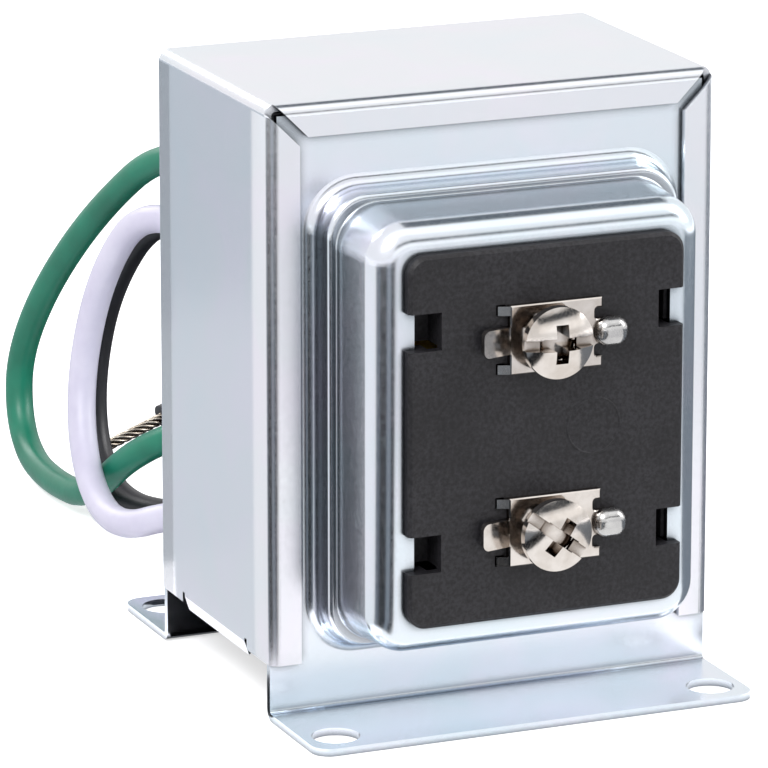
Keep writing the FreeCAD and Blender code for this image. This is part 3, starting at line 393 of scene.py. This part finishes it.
@dataclass(frozen=True)
class LayeredFinish:
    """Many thin layers, as stamped laminations, wound wire or wrapped tape: a dark line at each joint."""

    name: str
    light: str
    dark: str
    layer_mm: float
    along: Layers
    roughness: float
    metallic: float = 0.0
    joint_depth_mm: float = 0.05

    def build(self) -> bpy.types.Material:
        """Makes the layered finish.

        Returns:
            The material.
        """
        material, tree, place = new_material(self.name)
        # A wave of scale s repeats every 2 pi / 20 s, so the scale is worked out from the layer's thickness
        layers = add_node(tree, "ShaderNodeTexWave", {
            "Vector": place, "Scale": math.tau / 20 / (self.layer_mm * MM),
            "Distortion": 0.3, "Detail": 1.0},
            wave_type="BANDS", bands_direction=self.along.value, wave_profile="SIN")
        colour = add_node(tree, "ShaderNodeValToRGB", {"Fac": layers.outputs["Fac"]}, stops=(
            (0.1, self.dark), (0.45, self.light)))
        relief = add_node(tree, "ShaderNodeBump", {
            "Height": layers.outputs["Fac"], "Strength": 0.4, "Distance": self.joint_depth_mm * MM})
        shader = add_node(tree, "ShaderNodeBsdfPrincipled", {
            "Base Color": colour.outputs["Color"], "Metallic": self.metallic, "Roughness": self.roughness,
            "Normal": relief.outputs["Normal"]})
        close_material(tree, shader.outputs["BSDF"])
        return material


# Plated sheet: the folded wrap is a shade greyer than the drawn covers, which look bluer
WRAP_ZINC = ZincSheet("zinc_plated_wrap", "E3E8EE", "E9E7F0", "E6E8EE", 0.225, roll_per_mm=0.122)
# The covers paint shade over a wider reach on the dome, darkening its walls and tops
COVER_ZINC = ZincSheet("zinc_plated_cover", "DDE8F0", "E6E8F2", "E1E8F0", 0.21, dome_crevice_mm=6.5)
# Mouldings: near-black nylon that shows a fine grain, and natural nylon inside
BLACK_NYLON = MouldedNylon("black_nylon_board", "2B2A2E", "19181B", 0.5)
BUSHING_NYLON = MouldedNylon("black_nylon_bushing", "222225", "1A1A1C", 0.45)
BOBBIN_NYLON = MouldedNylon("natural_nylon_bobbin", "DEDACE", "CFCABB", 0.5)
# Small bright metal: warm nickel on the terminals, cooler solder, greyed tin on the strands
NICKEL = BrightMetal("nickel_plated_brass", "DAD4CF", "C8C0B9", 0.13)
SOLDER = BrightMetal("bright_solder", "CBCAC9", "B7B6B6", 0.22, mark_strength=0.0)
TINNED = BrightMetal("tinned_copper", "CFC7BB", "A99F93", 0.25)
# Lead insulation: satin skins, the white one with a lavender cast
GREEN_PVC = ExtrudedInsulation("green_insulation", "0F7D62", "0A6B53")
WHITE_PVC = ExtrudedInsulation("white_insulation", "DCD9EA", "CFCBE0")
BLACK_PVC = ExtrudedInsulation("black_insulation", "26252B", "1D1C21")
# Core and coil: dull oxide-dark steel, glossy copper and amber tape
LAMINATION = LayeredFinish("silicon_steel_laminations", "5B5B60", "1E1E20", 0.5, Layers.DEPTH, 0.45, 0.9)
COPPER = LayeredFinish("enamelled_copper_wire", "A8562A", "4E230F", 0.4, Layers.ACROSS, 0.3, 1.0)
TAPE = LayeredFinish("polyester_coil_tape", "C9A544", "A8852F", 6.0, Layers.ACROSS, 0.35)


def deselect() -> None:
    """Leaves edit mode and selects nothing."""
    if bpy.context.object and bpy.context.object.mode != "OBJECT":
        bpy.ops.object.mode_set(mode="OBJECT")
    bpy.ops.object.select_all(action="DESELECT")


def apply_modifiers(piece: bpy.types.Object) -> None:
    """Applies all modifiers of a piece in order.

    Args:
        piece: the mesh object.
    """
    deselect()
    piece.select_set(True)
    bpy.context.view_layer.objects.active = piece
    for modifier in list(piece.modifiers):
        bpy.ops.object.modifier_apply(modifier=modifier.name)


def seat(piece: bpy.types.Object, place: Matrix, smooth_degrees: float) -> None:
    """Moves a piece to its place, keeps the place in its mesh and smooths it.

    Args:
        piece: the mesh object, modelled about the origin.
        place: where it goes, in metres.
        smooth_degrees: the angle up to which edges are smooth.
    """
    deselect()
    piece.select_set(True)
    bpy.context.view_layer.objects.active = piece
    piece.matrix_world = place
    bpy.ops.object.transform_apply(location=True, rotation=True, scale=True)
    bpy.ops.object.mode_set(mode="EDIT")
    bpy.ops.mesh.select_all(action="SELECT")
    bpy.ops.mesh.normals_make_consistent(inside=False)
    bpy.ops.object.mode_set(mode="OBJECT")
    bpy.ops.object.shade_smooth_by_angle(angle=math.radians(smooth_degrees))


def dress(piece: bpy.types.Object, material: bpy.types.Material) -> None:
    """Gives a new piece its finish and lets it ride on the body.

    Args:
        piece: the finished piece.
        material: its finish.
    """
    piece.data.materials.clear()
    piece.data.materials.append(material)
    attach(piece, ROOT)
    log.info("piece %s: %s", piece.name, material.name)


def dress_nodes(names: Iterable[str], material: bpy.types.Material) -> None:
    """Gives CAD nodes a finish.

    Args:
        names: the nodes' names.
        material: their finish.
    """
    for name in names:
        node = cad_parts[name]
        for place in node.material_slots:
            place.material = material
        if not node.material_slots:
            node.data.materials.append(material)
        log.info("node %s: %s", name, material.name)


@dataclass
class SheetCase:
    """The folded and drawn steel case."""

    wrap: ZincSheet = WRAP_ZINC
    cover: ZincSheet = COVER_ZINC

    def build(self) -> None:
        """Dresses the wrap and the two covers."""
        dress_nodes(("wrap_cover",), self.wrap.build())
        dress_nodes(("front_cover", "rear_cover"), self.cover.build())


@dataclass
class TerminalBlock:
    """The terminal board with its plates, screws and solder joints."""

    board_face_mm: float = -28.4
    screw_heights_mm: tuple[float, float] = (41.55, 21.55)
    thread_radius_mm: float = 1.7
    thread_pitch_mm: float = 0.7
    thread_rise_mm: float = 0.3
    thread_start_mm: float = -29.0
    thread_turns: int = 3
    mark_centre_mm: tuple[float, float] = (5.4, 31.6)
    mark_radius_mm: float = 2.9
    mark_width_mm: float = 0.12
    mark_height_mm: float = 0.05

    def build(self) -> None:
        """Dresses the block's nodes and adds the screw threads and the mould mark."""
        nickel = NICKEL.build()
        nylon = BLACK_NYLON.build()
        dress_nodes(("terminal_board",), nylon)
        dress_nodes(("terminal_plate_upper", "terminal_plate_lower"), nickel)
        dress_nodes(("terminal_screw_upper", "terminal_screw_lower"), nickel)
        dress_nodes(("solder_joint_upper", "solder_joint_lower"), SOLDER.build())
        for name, height in zip(("upper", "lower"), self.screw_heights_mm):
            dress(self.make_thread(f"terminal_thread_{name}", height), nickel)
        dress(self.make_mould_mark(), nylon)

    def make_thread(self, name: str, height_mm: float) -> bpy.types.Object:
        """Winds the thread that shows between a screw's head and its plate.

        Args:
            name: the piece's name.
            height_mm: the screw's height.

        Returns:
            The thread, in place.
        """
        deselect()
        bpy.ops.mesh.primitive_circle_add(vertices=3, radius=self.thread_rise_mm * MM,
                                          location=(self.thread_radius_mm * MM, 0, 0),
                                          rotation=(math.pi / 2, math.pi / 2, 0))
        thread = bpy.context.object
        thread.name = thread.data.name = name
        bpy.ops.object.transform_apply(location=True, rotation=True, scale=True)
        screw = thread.modifiers.new("wind", "SCREW")
        screw.axis = "Z"
        screw.screw_offset = self.thread_pitch_mm * MM
        screw.iterations = self.thread_turns
        screw.steps = screw.render_steps = 32
        screw.use_merge_vertices = True
        apply_modifiers(thread)
        turn = Matrix.Rotation(math.pi / 2, 4, "X")
        seat(thread, Matrix.Translation(metres((0, self.thread_start_mm, height_mm))) @ turn, 30)
        return thread

    def make_mould_mark(self) -> bpy.types.Object:
        """Raises the faint ring that an ejector pin leaves on the board.

        Returns:
            The ring, in place.
        """
        deselect()
        bpy.ops.mesh.primitive_torus_add(major_segments=72, minor_segments=10,
                                         major_radius=self.mark_radius_mm * MM,
                                         minor_radius=self.mark_width_mm * MM)
        ring = bpy.context.object
        ring.name = ring.data.name = "board_mould_mark"
        bpy.ops.object.mode_set(mode="EDIT")
        bpy.ops.mesh.select_all(action="SELECT")
        bpy.ops.transform.resize(value=(1, 1, self.mark_height_mm / self.mark_width_mm))
        bpy.ops.object.mode_set(mode="OBJECT")
        across, up = self.mark_centre_mm
        turn = Matrix.Rotation(math.pi / 2, 4, "X")
        seat(ring, Matrix.Translation(metres((across, self.board_face_mm, up))) @ turn, 60)
        return ring


@dataclass
class CoreAndCoil:
    """The laminations and what is wound and fitted on them inside the case."""

    def build(self) -> None:
        """Dresses the inner nodes."""
        dress_nodes(("e_lamination_stack", "i_lamination_stack"), LAMINATION.build())
        dress_nodes(("bobbin",), BOBBIN_NYLON.build())
        dress_nodes(("primary_winding", "secondary_winding"), COPPER.build())
        dress_nodes(("primary_tape", "secondary_tape", "splice_sleeve"), TAPE.build())
        dress_nodes(("secondary_tail_upper", "secondary_tail_lower", "ground_strap"), TINNED.build())
        dress_nodes(("lead_bushing", "thermal_cutoff"), BUSHING_NYLON.build())


@dataclass
class Lead:
    """One loose primary lead with its stripped, twisted end."""

    colour: str
    finish: ExtrudedInsulation
    length_mm: float
    route_mm: tuple[Point, ...]
    diameter_mm: float = 3.2
    strand_diameter_mm: float = 1.4
    strip_mm: float = 10.0
    strand_sides: int = 10
    strand_steps: int = 24
    twist_turns: float = 1.6

    def build(self, tinned: bpy.types.Material) -> None:
        """Args:
            tinned: the finish of the bare strands.
        """
        curve = bpy.data.curves.new(f"{self.colour}_loose_lead", "CURVE")
        curve.dimensions = "3D"
        curve.resolution_u = 10
        curve.bevel_depth = self.diameter_mm / 2 * MM
        curve.bevel_resolution = 7
        curve.use_fill_caps = True
        spline = curve.splines.new("NURBS")
        spline.points.add(len(self.route_mm) - 1)
        for point, place in zip(spline.points, self.route_mm):
            point.co = (*metres(place), 1.0)
        spline.order_u = 3
        spline.use_endpoint_u = True
        lead = bpy.data.objects.new(curve.name, curve)
        bpy.context.scene.collection.objects.link(lead)
        dress(lead, self.finish.build())
        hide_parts(f"{self.colour}_lead")
        end = self.make_strands()
        dress(end, tinned)
        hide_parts(f"{self.colour}_lead_end")

    def make_strands(self) -> bpy.types.Object:
        """Twists seven strands into the stripped end.

        Returns:
            The strands, in place.
        """
        radius = self.strand_diameter_mm / 6 * MM
        step = self.strip_mm / self.strand_steps * MM
        spots = [(0.0, 0.0)]
        spots += [(2 * radius * math.cos(turn * math.pi / 3), 2 * radius * math.sin(turn * math.pi / 3))
                  for turn in range(6)]
        strands = []
        for spot in spots:
            deselect()
            bpy.ops.mesh.primitive_circle_add(
                vertices=self.strand_sides, radius=radius, fill_type="NGON", location=(*spot, 0))
            bpy.ops.object.transform_apply(location=True, rotation=True, scale=True)
            bpy.ops.object.mode_set(mode="EDIT")
            bpy.ops.mesh.select_all(action="SELECT")
            for unused in range(self.strand_steps):
                bpy.ops.mesh.extrude_region_move(TRANSFORM_OT_translate={"value": (0, 0, step)})
            bpy.ops.object.mode_set(mode="OBJECT")
            strands.append(bpy.context.object)
        deselect()
        for strand in strands:
            strand.select_set(True)
        bpy.context.view_layer.objects.active = strands[0]
        bpy.ops.object.join()
        end = bpy.context.object
        end.name = end.data.name = f"{self.colour}_twisted_end"
        twist = end.modifiers.new("twist", "SIMPLE_DEFORM")
        twist.deform_method = "TWIST"
        twist.deform_axis = "Z"
        twist.angle = self.twist_turns * math.tau
        apply_modifiers(end)
        along = Vector(self.route_mm[-1]) - Vector(self.route_mm[-2])
        turn = along.to_track_quat("Z", "Y").to_matrix().to_4x4()
        seat(end, Matrix.Translation(metres(self.route_mm[-1])) @ turn, 40)
        return end


LEADS = (
    Lead("green", GREEN_PVC, 168.8, (
        (0.0, 30.2, 34.75), (0.0, 36.4, 34.75), (-3.0, 47.2, 41.2), (-7.4, 58.4, 43.2),
        (-11.3, 70.0, 33.8), (-13.9, 80.2, 23.0), (-15.2, 86.4, 13.4), (-15.7, 85.8, 6.4),
        (-16.2, 80.6, 2.2), (-16.6, 71.0, 1.7), (-16.2, 61.0, 2.6), (-14.4, 50.0, 11.0),
        (-8.0, 42.0, 15.4), (2.0, 40.5, 12.6), (12.0, 42.0, 6.6), (20.5, 45.6, 1.7),
        (27.0, 51.0, 1.7))),
    Lead("white", WHITE_PVC, 123.9, (
        (-2.77, 30.2, 29.95), (-2.77, 36.4, 29.95), (-7.2, 46.2, 35.8), (-11.8, 54.6, 37.2),
        (-14.4, 60.2, 29.2), (-16.5, 61.6, 18.8), (-18.1, 58.0, 10.2), (-18.9, 50.8, 4.8),
        (-18.4, 43.6, 4.0), (-15.2, 38.4, 6.4), (-8.0, 34.6, 7.4), (1.0, 34.0, 5.2),
        (10.4, 34.6, 2.6), (19.5, 35.4, 1.7), (28.5, 37.4, 1.7))),
    Lead("black", BLACK_PVC, 149.3, (
        (2.77, 30.2, 29.95), (2.77, 36.4, 29.95), (-2.2, 48.4, 35.2), (-8.0, 59.2, 35.8),
        (-11.4, 66.0, 26.2), (-12.8, 68.8, 14.8), (-13.2, 66.6, 6.0), (-12.6, 60.0, 1.7),
        (-8.4, 52.4, 1.7), (0.6, 48.0, 1.7), (10.4, 50.6, 1.7), (15.5, 58.4, 1.8),
        (19.8, 65.8, 2.2), (20.5, 74.1, 3.7), (17.2, 81.5, 5.8), (9.5, 85.1, 6.7),
        (1.5, 83.7, 4.3))),
)


@dataclass(frozen=True)
class Softbox:
    """One studio lamp: a soft rectangle that points at the object."""

    name: str
    place_mm: Point
    width_mm: float
    height_mm: float
    power_w: float

    def build(self, target: Vector) -> None:
        """Hangs the lamp and turns it to the target.

        Args:
            target: the point that it lights, in metres.
        """
        lamp = bpy.data.lights.new(self.name, "AREA")
        lamp.shape = "RECTANGLE"
        lamp.size, lamp.size_y = self.width_mm * MM, self.height_mm * MM
        lamp.energy = self.power_w
        holder = bpy.data.objects.new(self.name, lamp)
        holder.location = metres(self.place_mm)
        holder.rotation_euler = (target - holder.location).to_track_quat("-Z", "Y").to_euler()
        bpy.context.scene.collection.objects.link(holder)


@dataclass(frozen=True)
class Card:
    """A card beside the object that only metal sees, as a photographer uses to draw lines on it."""

    name: str
    corners_mm: tuple[Point, ...]
    shade: str
    glow: float = 1.0

    def build(self) -> None:
        """Sets the card up, its corners in two rows of two."""
        deselect()
        bpy.ops.mesh.primitive_plane_add(size=1)
        card = bpy.context.object
        card.name = self.name
        for vertex, corner in zip(card.data.vertices, self.corners_mm):
            vertex.co = metres(corner)
        material, tree, unused = new_material(self.name)
        close_material(tree, add_node(tree, "ShaderNodeEmission", {
            "Color": linear(self.shade), "Strength": self.glow}).outputs["Emission"])
        card.data.materials.append(material)
        card.visible_camera = False
        card.visible_diffuse = False
        card.visible_shadow = False


def laid(height_mm: float, *corners: FloorPoint) -> tuple[Point, ...]:
    """Gives the corners of a level card, in two rows of two, at one height."""
    return tuple((across, back, height_mm) for across, back in corners)


def upright(left: FloorPoint, right: FloorPoint, bottom_mm: float, top_mm: float) -> tuple[Point, ...]:
    """Gives the corners of an upright card, in two rows of two, between two heights."""
    return laid(bottom_mm, left, right) + laid(top_mm, left, right)


# The flags lie just above the floor cards, so that a flag shows where both lie
CARD_MM = 0.1
FLAG_MM = 0.2
OVERHEAD_MM = 600
FRONT_LEFT = (-88, -432)
FRONT_RIGHT = (368, -228)
CARDS = (
    Card("left_floor_card",
         laid(CARD_MM, (-31.5, -2.6), (-38.5, -24.1), (-401, 592), (-429, -129)), "FAFBFC"),
    Card("left_side_card",
         laid(FLAG_MM, (-38.5, -24.1), (-35.5, -28.7), (-429, -129), (-367, -261)), "5C646D"),
    Card("left_side_flag", laid(FLAG_MM, (-35.5, -28.7), (-28.5, -35), (-367, -261), (-200, -400)), "16181C"),
    Card("camera_side_card",
         laid(FLAG_MM, (-28.5, -35), (-24.7, -35.9), (-200, -400), (-80, -436)), "838B94"),
    Card("camera_side_flag",
         laid(FLAG_MM, (-24.7, -35.9), (-20.7, -35.6), (-80, -436), (44, -433)), "16181C"),
    Card("cut_edge_flag", laid(FLAG_MM, (-33, -14.5), (-24.8, -14.5), (-33, -1), (-24.8, -1)), "1C1F24"),
    Card("rear_side_flag", laid(FLAG_MM, (-22.2, 23.7), (-19, 21.9), (60, 305), (190, 230)), "3A3C42"),
    Card("right_side_flag", laid(FLAG_MM, (27.9, -24.3), (27.5, -19.4), (341, -407), (276, 403)), "7C828A"),
    # Painted shadow: a black flag under the case stands in, for metal, for the shadow on the floor there
    Card("under_shadow_flag", laid(FLAG_MM, (-24, -14.5), (24, -14.5), (-24, 14.5), (24, 14.5)), "050506"),
    Card("wall_near_card", laid(CARD_MM, (-31.5, -2.6), (-29, -2.6), (-60, 43.2), (-29, 43.2)), "DEE3E8"),
    Card("wall_mid_card", laid(CARD_MM, (-60, 43.2), (127, 43.2), (-126, 150), (103, 150)), "DAE0E6"),
    Card("wall_far_card", laid(CARD_MM, (-126, 150), (103, 150), (-401, 592), (-44, 814)), "C4CCD4"),
    Card("front_near_card",
         laid(CARD_MM, (-26, -29.5), (60, -29.5), (-141, -196), (227, -38)), "FFFFFF", 1.2),
    Card("front_far_card", laid(CARD_MM, (-141, -196), (227, -38), (-72, -612), (480, -376)), "F7F7F9"),
    Card("front_flag", upright(FRONT_LEFT, FRONT_RIGHT, 165, 232), "2C333A"),
    Card("foot_card", upright(FRONT_LEFT, FRONT_RIGHT, 70, 135), "FFFFFF", 1.36),
    Card("top_card", laid(OVERHEAD_MM, (-300, -420), (500, -420), (-300, -60), (500, -60)), "FFFFFF", 1.3),
    Card("overhead_flag", laid(OVERHEAD_MM, (120, -10), (380, -10), (120, 400), (380, 400)), "565D65"),
)


@dataclass
class Studio:
    """The white table, the soft lamps and the camera."""

    target_mm: Point = (-5.52, 0.0, 30.0)
    azimuth_degrees: float = -22.93
    elevation_degrees: float = 15.1
    roll_degrees: float = 0.02
    distance_mm: float = 640.0
    focal_pixels: float = 6135.0
    frame_pixels: float = 768.0
    sensor_mm: float = 36.0
    floor_mm: float = 6000.0
    floor_drop_mm: float = 0.05
    floor_colour: str = "F4F4F6"
    floor_glow: float = 0.62
    ambient: float = 0.45
    softboxes: tuple[Softbox, ...] = (
        Softbox("key_softbox", (-420, -420, 620), 420, 420, 4.2),
        Softbox("right_softbox", (620, -260, 420), 300, 500, 2.6),
        Softbox("back_softbox", (-260, 620, 520), 500, 300, 2.2),
    )
    cards: tuple[Card, ...] = CARDS

    def build(self) -> None:
        """Makes the floor, the world, the lamps and the camera."""
        self.make_floor()
        self.make_world()
        target = metres(self.target_mm)
        for softbox in self.softboxes:
            softbox.build(target)
        for card in self.cards:
            card.build()
        self.make_camera()
        bpy.context.scene.view_settings.view_transform = "Standard"

    def seen_directly(self, tree: bpy.types.NodeTree) -> bpy.types.NodeSocket:
        """Tells rays from the camera, metal and glass from the rest.

        Args:
            tree: the node tree to add to.

        Returns:
            A socket that is 1 for those rays and 0 for diffuse ones.
        """
        path = add_node(tree, "ShaderNodeLightPath")
        direct = add_node(tree, "ShaderNodeMath", {
            0: path.outputs["Is Camera Ray"], 1: path.outputs["Is Glossy Ray"]}, operation="MAXIMUM")
        return add_node(tree, "ShaderNodeMath", {
            0: direct.outputs["Value"], 1: path.outputs["Is Transmission Ray"]},
            operation="MAXIMUM").outputs["Value"]

    def make_floor(self) -> None:
        """Lays the white table, which glows a little so that it stays white and still takes a shadow."""
        deselect()
        bpy.ops.mesh.primitive_plane_add(size=self.floor_mm * MM, location=(0, 0, -self.floor_drop_mm * MM))
        floor = bpy.context.object
        floor.name = "studio_floor"
        material, tree, unused = new_material("white_table")
        paper = add_node(tree, "ShaderNodeBsdfDiffuse", {"Color": linear(self.floor_colour)})
        share = add_node(tree, "ShaderNodeMath", {0: self.seen_directly(tree), 1: self.floor_glow},
                         operation="MULTIPLY")
        glow = add_node(tree, "ShaderNodeEmission", {"Strength": share.outputs["Value"]})
        both = add_node(tree, "ShaderNodeAddShader", {
            0: paper.outputs["BSDF"], 1: glow.outputs["Emission"]})
        close_material(tree, both.outputs["Shader"])
        floor.data.materials.append(material)

    def make_world(self) -> None:
        """Makes the white surround, dimmer as a light than as a background."""
        world = bpy.data.worlds.new("white_surround")
        world.use_nodes = True
        tree = world.node_tree
        tree.nodes.clear()
        strength = add_node(tree, "ShaderNodeMapRange", {
            "Value": self.seen_directly(tree), "To Min": self.ambient, "To Max": 1.0})
        white = add_node(tree, "ShaderNodeBackground", {
            "Color": (1, 1, 1, 1), "Strength": strength.outputs["Result"]})
        add_node(tree, "ShaderNodeOutputWorld", {"Surface": white.outputs["Background"]})
        bpy.context.scene.world = world

    def make_camera(self) -> None:
        """Sets the camera at the photograph's place, worked out from the case's outline."""
        azimuth, elevation = math.radians(self.azimuth_degrees), math.radians(self.elevation_degrees)
        back = Vector((math.sin(azimuth) * math.cos(elevation), -math.cos(azimuth) * math.cos(elevation),
                       math.sin(elevation)))
        right = Vector((math.cos(azimuth), math.sin(azimuth), 0))
        up = back.cross(right)
        pose = Matrix((right, up, back)).transposed().to_4x4() @ Matrix.Rotation(
            math.radians(self.roll_degrees), 4, "Z")
        pose.translation = metres(self.target_mm) + back * self.distance_mm * MM
        lens = bpy.data.cameras.new("photo_camera")
        lens.sensor_fit = "HORIZONTAL"
        lens.sensor_width = self.sensor_mm
        lens.lens = self.focal_pixels * self.sensor_mm / self.frame_pixels
        camera = bpy.data.objects.new("photo_camera", lens)
        camera.matrix_world = pose
        bpy.context.scene.collection.objects.link(camera)
        bpy.context.scene.camera = camera


def main() -> None:
    """Builds the looks in order."""
    SheetCase().build()
    TerminalBlock().build()
    CoreAndCoil().build()
    tinned = TINNED.build()
    for lead in LEADS:
        lead.build(tinned)
    Studio().build()


if __name__ == "__main__":
    main()
